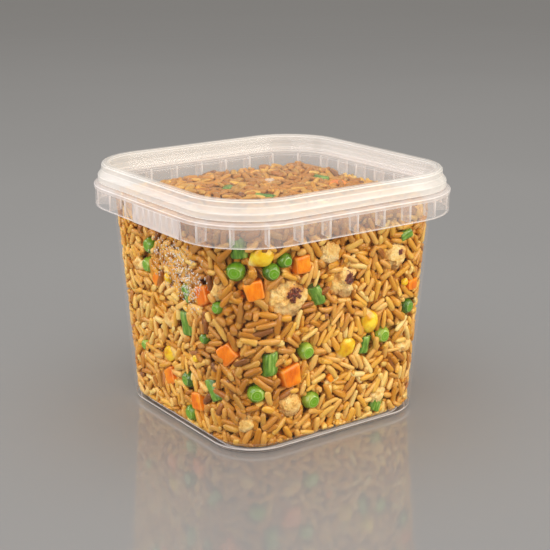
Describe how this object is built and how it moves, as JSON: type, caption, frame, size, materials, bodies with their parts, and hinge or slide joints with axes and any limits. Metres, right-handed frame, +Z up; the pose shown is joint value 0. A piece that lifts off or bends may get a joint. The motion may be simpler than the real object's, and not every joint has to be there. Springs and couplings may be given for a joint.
{
  "type": "takeaway meal container",
  "caption": "Square clear plastic tub with wide round corners, ribbed collar, tear tab and sunken clip-on lid, packed full of chicken fried rice with vegetables.",
  "frame": {"origin": "middle of the base, on the surface that the tub stands on", "axes": "+Z up; -Y and -X are the two sides that the picture shows, and the tear tab is on the -X side"},
  "size_m": [0.118, 0.118, 0.1],
  "materials": {
    "tub": "clear, glossy; collar slightly milky",
    "lid": "clear panel, milky rim",
    "rice": "golden brown grains with a faint sheen of oil",
    "pea": "satin, slightly wrinkled skin",
    "bean": "satin, dark green",
    "corn": "satin yellow",
    "carrot": "satin orange",
    "chicken": "pale tan with browned edges"
  },
  "bodies": {
    "root": {"tub": "tub", "lid": "lid", "rice": "rice", "pea_1": "pea", "pea_2": "pea", "pea_3": "pea", "pea_4": "pea", "pea_5": "pea", "pea_6": "pea", "pea_7": "pea", "pea_8": "pea", "pea_9": "pea", "pea_10": "pea", "pea_11": "pea", "pea_12": "pea", "pea_13": "pea", "bean_1": "bean", "bean_2": "bean", "bean_3": "bean", "bean_4": "bean", "bean_5": "bean", "bean_6": "bean", "bean_7": "bean", "bean_8": "bean", "bean_9": "bean", "bean_10": "bean", "corn_1": "corn", "corn_2": "corn", "corn_3": "corn", "corn_4": "corn", "corn_5": "corn", "carrot_1": "carrot", "carrot_2": "carrot", "carrot_3": "carrot", "carrot_4": "carrot", "carrot_5": "carrot", "carrot_6": "carrot", "carrot_7": "carrot", "carrot_8": "carrot", "carrot_9": "carrot", "carrot_10": "carrot", "chicken_1": "chicken", "chicken_2": "chicken", "chicken_3": "chicken", "chicken_4": "chicken", "chicken_5": "chicken", "chicken_6": "chicken"}
  },
  "joints": []
}
